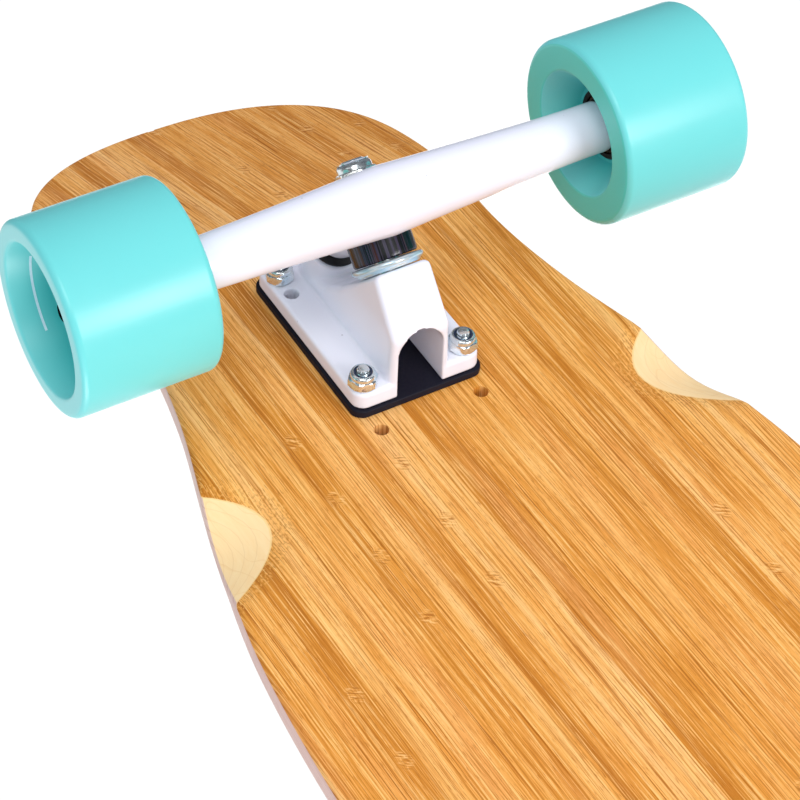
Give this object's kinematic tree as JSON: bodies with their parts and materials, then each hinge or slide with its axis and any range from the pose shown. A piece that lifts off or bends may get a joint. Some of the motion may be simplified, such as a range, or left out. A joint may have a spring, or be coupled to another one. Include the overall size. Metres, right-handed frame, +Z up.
{
  "type": "skateboard",
  "caption": "Double-kick longboard with a bamboo-faced deck, wheel wells, white reverse-kingpin trucks on riser pads and teal urethane wheels.",
  "frame": {"origin": "on the ground under the middle of the board, halfway between the trucks and between the wheels", "axes": "+X towards the front tip, along the board; +Y to the rider's left; +Z up, out of the standing surface"},
  "size_m": [1.1178, 0.263, 0.1539],
  "materials": {
    "bamboo_maple": "satin lacquered bamboo veneer over pale maple plies",
    "grip": "coarse black grit",
    "white_enamel": "gloss white powder coat on cast aluminium",
    "zinc_steel": "bright bluish zinc plating",
    "bearing_steel": "steel ring with a black shield",
    "black_urethane": "gloss black urethane",
    "teal_urethane": "semi-gloss, slightly translucent urethane",
    "riser_rubber": "matt black rubber",
    "cup_plastic": "matt black plastic"
  },
  "bodies": {
    "board": {"deck": "bamboo_maple", "grip_tape": "grip", "front_riser_pad": "riser_rubber", "front_baseplate": "white_enamel", "front_pivot_cup": "cup_plastic", "front_kingpin": "zinc_steel", "front_kingpin_nut": "zinc_steel", "front_washer_boardside": "zinc_steel", "front_washer_roadside": "zinc_steel", "front_bushing_boardside": "black_urethane", "front_bushing_roadside": "black_urethane", "front_mount_bolt_1": "zinc_steel", "front_mount_nut_1": "zinc_steel", "front_mount_bolt_2": "zinc_steel", "front_mount_nut_2": "zinc_steel", "front_mount_bolt_3": "zinc_steel", "front_mount_nut_3": "zinc_steel", "front_mount_bolt_4": "zinc_steel", "front_mount_nut_4": "zinc_steel", "rear_riser_pad": "riser_rubber", "rear_baseplate": "white_enamel", "rear_pivot_cup": "cup_plastic", "rear_kingpin": "zinc_steel", "rear_kingpin_nut": "zinc_steel", "rear_washer_boardside": "zinc_steel", "rear_washer_roadside": "zinc_steel", "rear_bushing_boardside": "black_urethane", "rear_bushing_roadside": "black_urethane", "rear_mount_bolt_1": "zinc_steel", "rear_mount_nut_1": "zinc_steel", "rear_mount_bolt_2": "zinc_steel", "rear_mount_nut_2": "zinc_steel", "rear_mount_bolt_3": "zinc_steel", "rear_mount_nut_3": "zinc_steel", "rear_mount_bolt_4": "zinc_steel", "rear_mount_nut_4": "zinc_steel"},
    "front_hanger_group": {"front_hanger": "white_enamel", "front_axle": "zinc_steel", "front_left_axle_nut": "zinc_steel", "front_left_bearing_sleeve": "zinc_steel", "front_right_axle_nut": "zinc_steel", "front_right_bearing_sleeve": "zinc_steel"},
    "front_left_wheel_group": {"front_left_wheel": "teal_urethane", "front_left_bearing_inboard": "bearing_steel", "front_left_bearing_outboard": "bearing_steel"},
    "front_right_wheel_group": {"front_right_wheel": "teal_urethane", "front_right_bearing_inboard": "bearing_steel", "front_right_bearing_outboard": "bearing_steel"},
    "rear_hanger_group": {"rear_hanger": "white_enamel", "rear_axle": "zinc_steel", "rear_left_axle_nut": "zinc_steel", "rear_left_bearing_sleeve": "zinc_steel", "rear_right_axle_nut": "zinc_steel", "rear_right_bearing_sleeve": "zinc_steel"},
    "rear_left_wheel_group": {"rear_left_wheel": "teal_urethane", "rear_left_bearing_inboard": "bearing_steel", "rear_left_bearing_outboard": "bearing_steel"},
    "rear_right_wheel_group": {"rear_right_wheel": "teal_urethane", "rear_right_bearing_inboard": "bearing_steel", "rear_right_bearing_outboard": "bearing_steel"}
  },
  "joints": [
    {"name": "front_steer", "type": "hinge", "parent": "board", "child": "front_hanger_group", "pos_m": [0.37267, 0, 0.04843], "axis": [-0.6428, 0, -0.766], "range_deg": [-18, 18], "stiffness_Nm_per_rad": 40, "deforming": ["front_bushing_boardside", "front_bushing_roadside"]},
    {"name": "rear_steer", "type": "hinge", "parent": "board", "child": "rear_hanger_group", "pos_m": [-0.37267, 0, 0.04843], "axis": [0.6428, 0, -0.766], "range_deg": [-18, 18], "stiffness_Nm_per_rad": 40, "deforming": ["rear_bushing_boardside", "rear_bushing_roadside"]},
    {"name": "front_left_wheel_spin", "type": "hinge", "parent": "front_hanger_group", "child": "front_left_wheel_group", "pos_m": [0.3644, 0.1055, 0.035], "axis": [0, 1, 0], "continuous": true},
    {"name": "front_right_wheel_spin", "type": "hinge", "parent": "front_hanger_group", "child": "front_right_wheel_group", "pos_m": [0.3644, -0.1055, 0.035], "axis": [0, 1, 0], "continuous": true},
    {"name": "rear_left_wheel_spin", "type": "hinge", "parent": "rear_hanger_group", "child": "rear_left_wheel_group", "pos_m": [-0.3644, 0.1055, 0.035], "axis": [0, 1, 0], "continuous": true},
    {"name": "rear_right_wheel_spin", "type": "hinge", "parent": "rear_hanger_group", "child": "rear_right_wheel_group", "pos_m": [-0.3644, -0.1055, 0.035], "axis": [0, 1, 0], "continuous": true}
  ]
}
